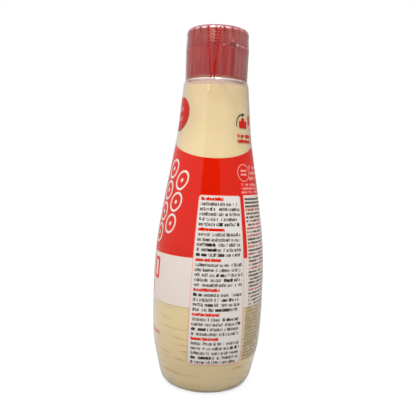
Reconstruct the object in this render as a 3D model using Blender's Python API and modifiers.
"""Mayonnaise squeeze bottle with a shut flip-top cap, sealed in a clear printed shrink sleeve.

The bottle stands on its foot ring at z = 0 with its axis on +Z. Its front faces -Y and the cap's
hinge is at the back, on +Y. Every size is in metres. The pieces are nested without touching: the
sauce in the bottle, the bottle's neck in the cap, the lid on the cap, and the sleeve over them all.
"""

import math

import bmesh
import bpy
from mathutils import Vector
from mathutils.geometry import interpolate_bezier

MM = 0.001

# The whole pack
PACK_HEIGHT = 200.0 * MM
GAP = 0.3 * MM  # air left between two pieces that touch on the real pack
TURN_STEPS = 36  # sides of a turned piece

# Bottle
WALL = 0.8 * MM
FOOT_RADIUS = 19.5 * MM  # outer edge of the flat ring that the bottle stands on
FOOT_RING = 3.0 * MM  # width of that ring
BASE_RISE = 4.0 * MM  # how far the middle of the base is pushed up
HEEL_REACH = 4.5 * MM  # pull of the heel's curve along the floor
HEEL_LIFT = 4.2 * MM  # pull of the heel's curve down from the flank
# Height and outer radius of the flank, from the heel's top to the shoulder's foot
FLANK = (
    (9.7 * MM, 26.7 * MM),
    (25.0 * MM, 29.9 * MM),
    (50.0 * MM, 31.0 * MM),
    (80.0 * MM, 30.0 * MM),
    (110.0 * MM, 25.7 * MM),
    (140.0 * MM, 20.6 * MM),
    (168.0 * MM, 17.8 * MM),
)
FLANK_RINGS = 11
FLANK_CROWDING = 1.35  # above 1, the rings stand closer together towards the heel
SHOULDER_TOP = 170.4 * MM
NECK_TOP = 186.5 * MM
NECK_RADIUS = 15.4 * MM
NECK_BORE = 14.0 * MM

# Sauce
FILL_TOP = 180.0 * MM  # hidden by the cap

# Cap: a fluted collar, and a fluted lid on it
CAP_FOOT = 172.2 * MM
CAP_PARTING = 189.0 * MM
CREST_AT_FOOT = 16.8 * MM  # radius over the flutes
CREST_AT_PARTING = 17.0 * MM
CREST_AT_TOP = 16.5 * MM
CAP_BORE = NECK_RADIUS + GAP
FLUTES = 24
FLUTE_POINTS = 5  # points round one flute
FLUTE_DEPTH = 0.45 * MM
FOOT_CHAMFER = 0.3 * MM
LID_TOP_EDGE = 1.5 * MM  # rounding of the lid's top edge

# Hinge at the back of the cap: a window cut in collar and lid, with a strap in it
HINGE_LOW = 187.3 * MM
HINGE_HIGH = 190.8 * MM
HINGE_HALF_ANGLE = math.radians(46)
STRAP_HALF_ANGLE = math.radians(35)
HINGE_DEPTH = 0.8 * MM
HINGE_STEPS = 12

# Sleeve
FILM = 0.3 * MM
SLEEVE_LIP = 1.4 * MM  # how far the film turns in over the lid's top
SLEEVE_FOOT = 1.0 * MM  # height of the film's lower edge, on the heel
SLEEVE_GROOVE = (17.0 * MM, 170.9 * MM)  # where the film dips between cap and shoulder

# Cutters reach this far past what they cut
REACH = 2.0 * MM


def clear_scene():
    for item in list(bpy.data.objects):
        bpy.data.objects.remove(item, do_unlink=True)


def make_collection(name):
    collection = bpy.data.collections.new(name)
    bpy.context.scene.collection.children.link(collection)
    return collection


def curve_points(start, start_pull, end_pull, end, count):
    """Points of one smooth stretch of an outline, given as (radius, height)."""
    knots = [Vector(point) for point in (start, start_pull, end_pull, end)]
    return [tuple(point) for point in interpolate_bezier(*knots, count)]


def flank_slopes():
    """Change of radius with height at each station of the flank."""
    slopes = []
    for index in range(len(FLANK)):
        low = FLANK[max(index - 1, 0)]
        high = FLANK[min(index + 1, len(FLANK) - 1)]
        slopes.append((high[1] - low[1]) / (high[0] - low[0]))
    return slopes


def flank_radius(height):
    """Outer radius of the bottle's flank: a smooth curve through its stations."""
    slopes = flank_slopes()
    index = 0
    while index < len(FLANK) - 2 and height > FLANK[index + 1][0]:
        index += 1
    (low, low_radius), (high, high_radius) = FLANK[index], FLANK[index + 1]
    span = high - low
    share = (height - low) / span
    back = 1 - share
    return (
        (1 + 2 * share) * back**2 * low_radius
        + share * back**2 * span * slopes[index]
        + share**2 * (3 - 2 * share) * high_radius
        - share**2 * back * span * slopes[index + 1]
    )


def inset(points, distance):
    """The outline moved into the bottle by a distance, or out of it by a negative one."""
    moved = []
    for index, (radius, height) in enumerate(points):
        before = points[max(index - 1, 0)]
        after = points[min(index + 1, len(points) - 1)]
        along = Vector((after[0] - before[0], after[1] - before[1])).normalized()
        new_radius = radius + distance * along.y if radius > 0 else 0.0
        moved.append((new_radius, height - distance * along.x))
    return moved


def flank_outline():
    """The flank, from the shoulder's foot down to the heel's top."""
    low, high = FLANK[0][0], FLANK[-1][0]
    shares = [(1 - step / FLANK_RINGS) ** FLANK_CROWDING for step in range(FLANK_RINGS + 1)]
    heights = [low + (high - low) * share for share in shares]
    return [(flank_radius(height), height) for height in heights]


def heel_outline(count):
    """The heel, from the flank down to the outer edge of the foot ring."""
    height, radius = FLANK[0]
    slope = flank_slopes()[0]
    pull = (radius - slope * HEEL_LIFT, height - HEEL_LIFT)
    return curve_points((radius, height), pull, (FOOT_RADIUS + HEEL_REACH, 0), (FOOT_RADIUS, 0), count)


def base_outline():
    """The underside, from the foot ring's inner edge to the middle."""
    inner = FOOT_RADIUS - FOOT_RING
    return curve_points(
        (inner, 0), (0.75 * inner, 0.55 * BASE_RISE), (0.4 * inner, BASE_RISE), (0, BASE_RISE), 5
    )


def shoulder_outline(neck_radius, top, foot):
    """The rounded shoulder, from the neck out and down to the flank's first point."""
    width = foot[0] - neck_radius
    drop = top - foot[1]
    return curve_points(
        (neck_radius, top),
        (neck_radius + 0.65 * width, top),
        (foot[0] - 0.1 * width, foot[1] + 0.6 * drop),
        foot,
        5,
    )


def vessel_outline(depth, neck_radius, top):
    """The bottle's outline moved in by depth, with a neck of the given radius and top."""
    body = inset(flank_outline() + heel_outline(6)[1:] + base_outline(), depth)
    shoulder = shoulder_outline(neck_radius, SHOULDER_TOP - depth, body[0])
    return [(neck_radius, top)] + shoulder + body[1:]


def lid_edge(radius_of_edge, count):
    """The lid's rounded top edge moved out to a given rounding, from the top down."""
    centre_radius = CREST_AT_TOP - LID_TOP_EDGE
    centre_height = PACK_HEIGHT - FILM - GAP - LID_TOP_EDGE
    points = []
    for step in range(count):
        angle = math.pi / 2 * (1 - step / (count - 1))
        radius = centre_radius + radius_of_edge * math.cos(angle)
        points.append((radius, centre_height + radius_of_edge * math.sin(angle)))
    return points


def end_at(points, height):
    """The outline down to a height, where it ends."""
    kept = [point for point in points if point[1] > height]
    above, below = kept[-1], points[len(kept)]
    share = (above[1] - height) / (above[1] - below[1])
    return kept + [(above[0] + share * (below[0] - above[0]), height)]


def sleeve_outline():
    """The film's outside, from its lip on the lid down to its end on the heel."""
    over = GAP + FILM
    top_edge = lid_edge(LID_TOP_EDGE + over, 4)
    lip = [(top_edge[0][0] - SLEEVE_LIP, PACK_HEIGHT)]
    collar = [
        (CREST_AT_PARTING + over, CAP_PARTING),
        (CREST_AT_FOOT + over, CAP_FOOT - GAP),
        SLEEVE_GROOVE,
    ]
    body = end_at(inset(flank_outline() + heel_outline(7)[1:], -over), SLEEVE_FOOT)
    shoulder = [((SLEEVE_GROOVE[0] + 2 * body[0][0]) / 3, (2 * SLEEVE_GROOVE[1] + body[0][1]) / 3)]
    return lip + top_edge + collar + shoulder + body


def make_material(name, colour, roughness):
    material = bpy.data.materials.new(name)
    material.use_nodes = True
    shader = material.node_tree.nodes["Principled BSDF"]
    shader.inputs["Base Color"].default_value = (*colour, 1.0)
    shader.inputs["Roughness"].default_value = roughness
    material.diffuse_color = (*colour, 1.0)
    return material


def add_object(name, mesh, collection, material=None):
    item = bpy.data.objects.new(name, mesh)
    collection.objects.link(item)
    if material:
        mesh.materials.append(material)
    return item


def add_turned(name, points, closed, collection, material):
    """A turned piece: its outline with a Screw modifier round +Z."""
    mesh = bpy.data.meshes.new(name)
    edges = [(index, index + 1) for index in range(len(points) - 1)]
    if closed:
        edges.append((len(points) - 1, 0))
    mesh.from_pydata([(radius, 0, height) for radius, height in points], edges, [])
    item = add_object(name, mesh, collection, material)
    screw = item.modifiers.new("turn", "SCREW")
    screw.axis = "Z"
    screw.angle = 2 * math.pi
    screw.steps = TURN_STEPS
    screw.render_steps = TURN_STEPS
    screw.use_merge_vertices = True
    screw.merge_threshold = 0.00001
    screw.use_smooth_shade = True
    return item


def flute(azimuth):
    """How deep a flute's groove is at an azimuth: 1 in the groove, 0 on the crest."""
    return (1 - abs(math.sin(azimuth * FLUTES / 2))) ** 2


def fluted_mesh(name, levels):
    """A fluted body. Levels are (crest radius, height, groove depth), from the bottom up."""
    shape = bmesh.new()
    bmesh.ops.create_circle(shape, cap_ends=True, segments=FLUTES * FLUTE_POINTS, radius=1)
    shape.faces.ensure_lookup_table()
    face = shape.faces[0]
    ring = list(face.verts)
    for number, (crest, height, depth) in enumerate(levels):
        if number:
            made = bmesh.ops.extrude_face_region(shape, geom=[face])["geom"]
            if number > 1:
                bmesh.ops.delete(shape, geom=[face], context="FACES_ONLY")
            face = next(part for part in made if isinstance(part, bmesh.types.BMFace))
            ring = [part for part in made if isinstance(part, bmesh.types.BMVert)]
        for vertex in ring:
            azimuth = math.atan2(vertex.co.x, -vertex.co.y)
            radius = crest - depth * flute(azimuth)
            vertex.co = (radius * math.sin(azimuth), -radius * math.cos(azimuth), height)
    bmesh.ops.recalc_face_normals(shape, faces=shape.faces)
    mesh = bpy.data.meshes.new(name)
    shape.to_mesh(mesh)
    shape.free()
    return mesh


def add_sector(name, inner, outer, low, high, half_angle, collection):
    """A block of a ring, centred on the back of the pack."""
    start = math.pi / 2 - half_angle
    across = Vector((math.cos(start), math.sin(start), 0))
    corners = [(inner, low), (outer, low), (outer, high), (inner, high)]
    shape = bmesh.new()
    face = shape.faces.new([shape.verts.new(across * r + Vector((0, 0, z))) for r, z in corners])
    bmesh.ops.spin(
        shape,
        geom=[face, *face.edges, *face.verts],
        cent=(0, 0, 0),
        axis=(0, 0, 1),
        angle=2 * half_angle,
        steps=HINGE_STEPS,
    )
    bmesh.ops.recalc_face_normals(shape, faces=shape.faces)
    mesh = bpy.data.meshes.new(name)
    shape.to_mesh(mesh)
    shape.free()
    return add_object(name, mesh, collection)


def hide_cutter(item):
    item.hide_render = True
    item.display_type = "WIRE"


def add_boolean(item, cutter, operation):
    """Cuts the cutter from the item or joins it on, and hides the cutter."""
    boolean = item.modifiers.new(cutter.name, "BOOLEAN")
    boolean.operation = operation
    boolean.object = cutter
    boolean.solver = "EXACT"
    hide_cutter(cutter)


def smooth_edges(item, angle):
    """Shades the faces smooth and keeps the edges sharper than the angle."""
    item.data.shade_smooth()
    item.data.set_sharp_from_angle(angle=angle)


def add_neck_bore(collection):
    """The space in the collar for the bottle's neck."""
    bpy.ops.mesh.primitive_cylinder_add(
        vertices=TURN_STEPS,
        radius=CAP_BORE / math.cos(math.pi / TURN_STEPS),
        depth=NECK_TOP + GAP - CAP_FOOT + REACH,
        location=(0, 0, (NECK_TOP + GAP + CAP_FOOT - REACH) / 2),
    )
    bore = bpy.context.object
    bore.name = "neck_bore"
    for holder in list(bore.users_collection):
        holder.objects.unlink(bore)
    collection.objects.link(bore)
    return bore


def make_bottle(collection):
    """The clear bottle: a thin shell, open at its mouth."""
    outside = vessel_outline(0, NECK_RADIUS, NECK_TOP)
    inside = vessel_outline(WALL, NECK_BORE, NECK_TOP)
    material = make_material("clear_pet", (0.86, 0.84, 0.76), 0.08)
    add_turned("bottle", inside[::-1] + outside, False, collection, material)


def make_mayonnaise(collection):
    """The sauce, which fills the bottle up into its neck."""
    outline = vessel_outline(WALL + GAP, NECK_BORE - GAP, FILL_TOP)
    material = make_material("mayonnaise", (0.80, 0.66, 0.38), 0.35)
    add_turned("mayonnaise", [(0, FILL_TOP)] + outline, False, collection, material)


def make_cap_base(collection, cutters, material):
    """The fluted collar round the neck, with the hinge's strap on it."""
    levels = [
        (CREST_AT_FOOT - FOOT_CHAMFER, CAP_FOOT, FLUTE_DEPTH),
        (CREST_AT_FOOT, CAP_FOOT + FOOT_CHAMFER, FLUTE_DEPTH),
        (CREST_AT_PARTING, CAP_PARTING - GAP / 2, FLUTE_DEPTH),
    ]
    base = add_object("cap_base", fluted_mesh("cap_base", levels), collection, material)
    inner = CREST_AT_PARTING - HINGE_DEPTH
    window = add_sector(
        "window_in_base",
        inner,
        CREST_AT_PARTING + REACH,
        HINGE_LOW,
        HINGE_HIGH,
        HINGE_HALF_ANGLE,
        cutters,
    )
    strap = add_sector(
        "hinge_strap",
        inner + GAP,
        CREST_AT_PARTING,
        HINGE_LOW - GAP,
        HINGE_HIGH - GAP,
        STRAP_HALF_ANGLE,
        cutters,
    )
    add_boolean(base, add_neck_bore(cutters), "DIFFERENCE")
    add_boolean(base, window, "DIFFERENCE")
    add_boolean(base, strap, "UNION")
    smooth_edges(base, math.radians(35))


def make_flip_lid(collection, cutters, material):
    """The shut lid, fluted like the collar, with its half of the hinge's window."""
    levels = [
        (CREST_AT_PARTING, CAP_PARTING + GAP / 2, FLUTE_DEPTH),
    ]
    edge = lid_edge(LID_TOP_EDGE, 5)[::-1]
    for number, (radius, height) in enumerate(edge):
        levels.append((radius, height, FLUTE_DEPTH * (1 - number / (len(edge) - 1))))
    lid = add_object("flip_lid", fluted_mesh("flip_lid", levels), collection, material)
    window = add_sector(
        "window_in_lid",
        CREST_AT_PARTING - HINGE_DEPTH,
        CREST_AT_PARTING + REACH,
        HINGE_LOW,
        HINGE_HIGH,
        HINGE_HALF_ANGLE,
        cutters,
    )
    add_boolean(lid, window, "DIFFERENCE")
    smooth_edges(lid, math.radians(35))


def make_sleeve(collection):
    """The shrink film over bottle and cap, open at its top and at its foot."""
    outside = sleeve_outline()
    inside = inset(outside, FILM)
    material = make_material("shrink_film", (0.80, 0.10, 0.07), 0.12)
    add_turned("sleeve", outside + inside[::-1], True, collection, material)


def main():
    clear_scene()
    pack = make_collection("mayonnaise_squeeze_bottle")
    cutters = make_collection("cutters")
    cap_plastic = make_material("red_polypropylene", (0.55, 0.07, 0.07), 0.3)
    make_bottle(pack)
    make_mayonnaise(pack)
    make_cap_base(pack, cutters, cap_plastic)
    make_flip_lid(pack, cutters, cap_plastic)
    make_sleeve(pack)


main()
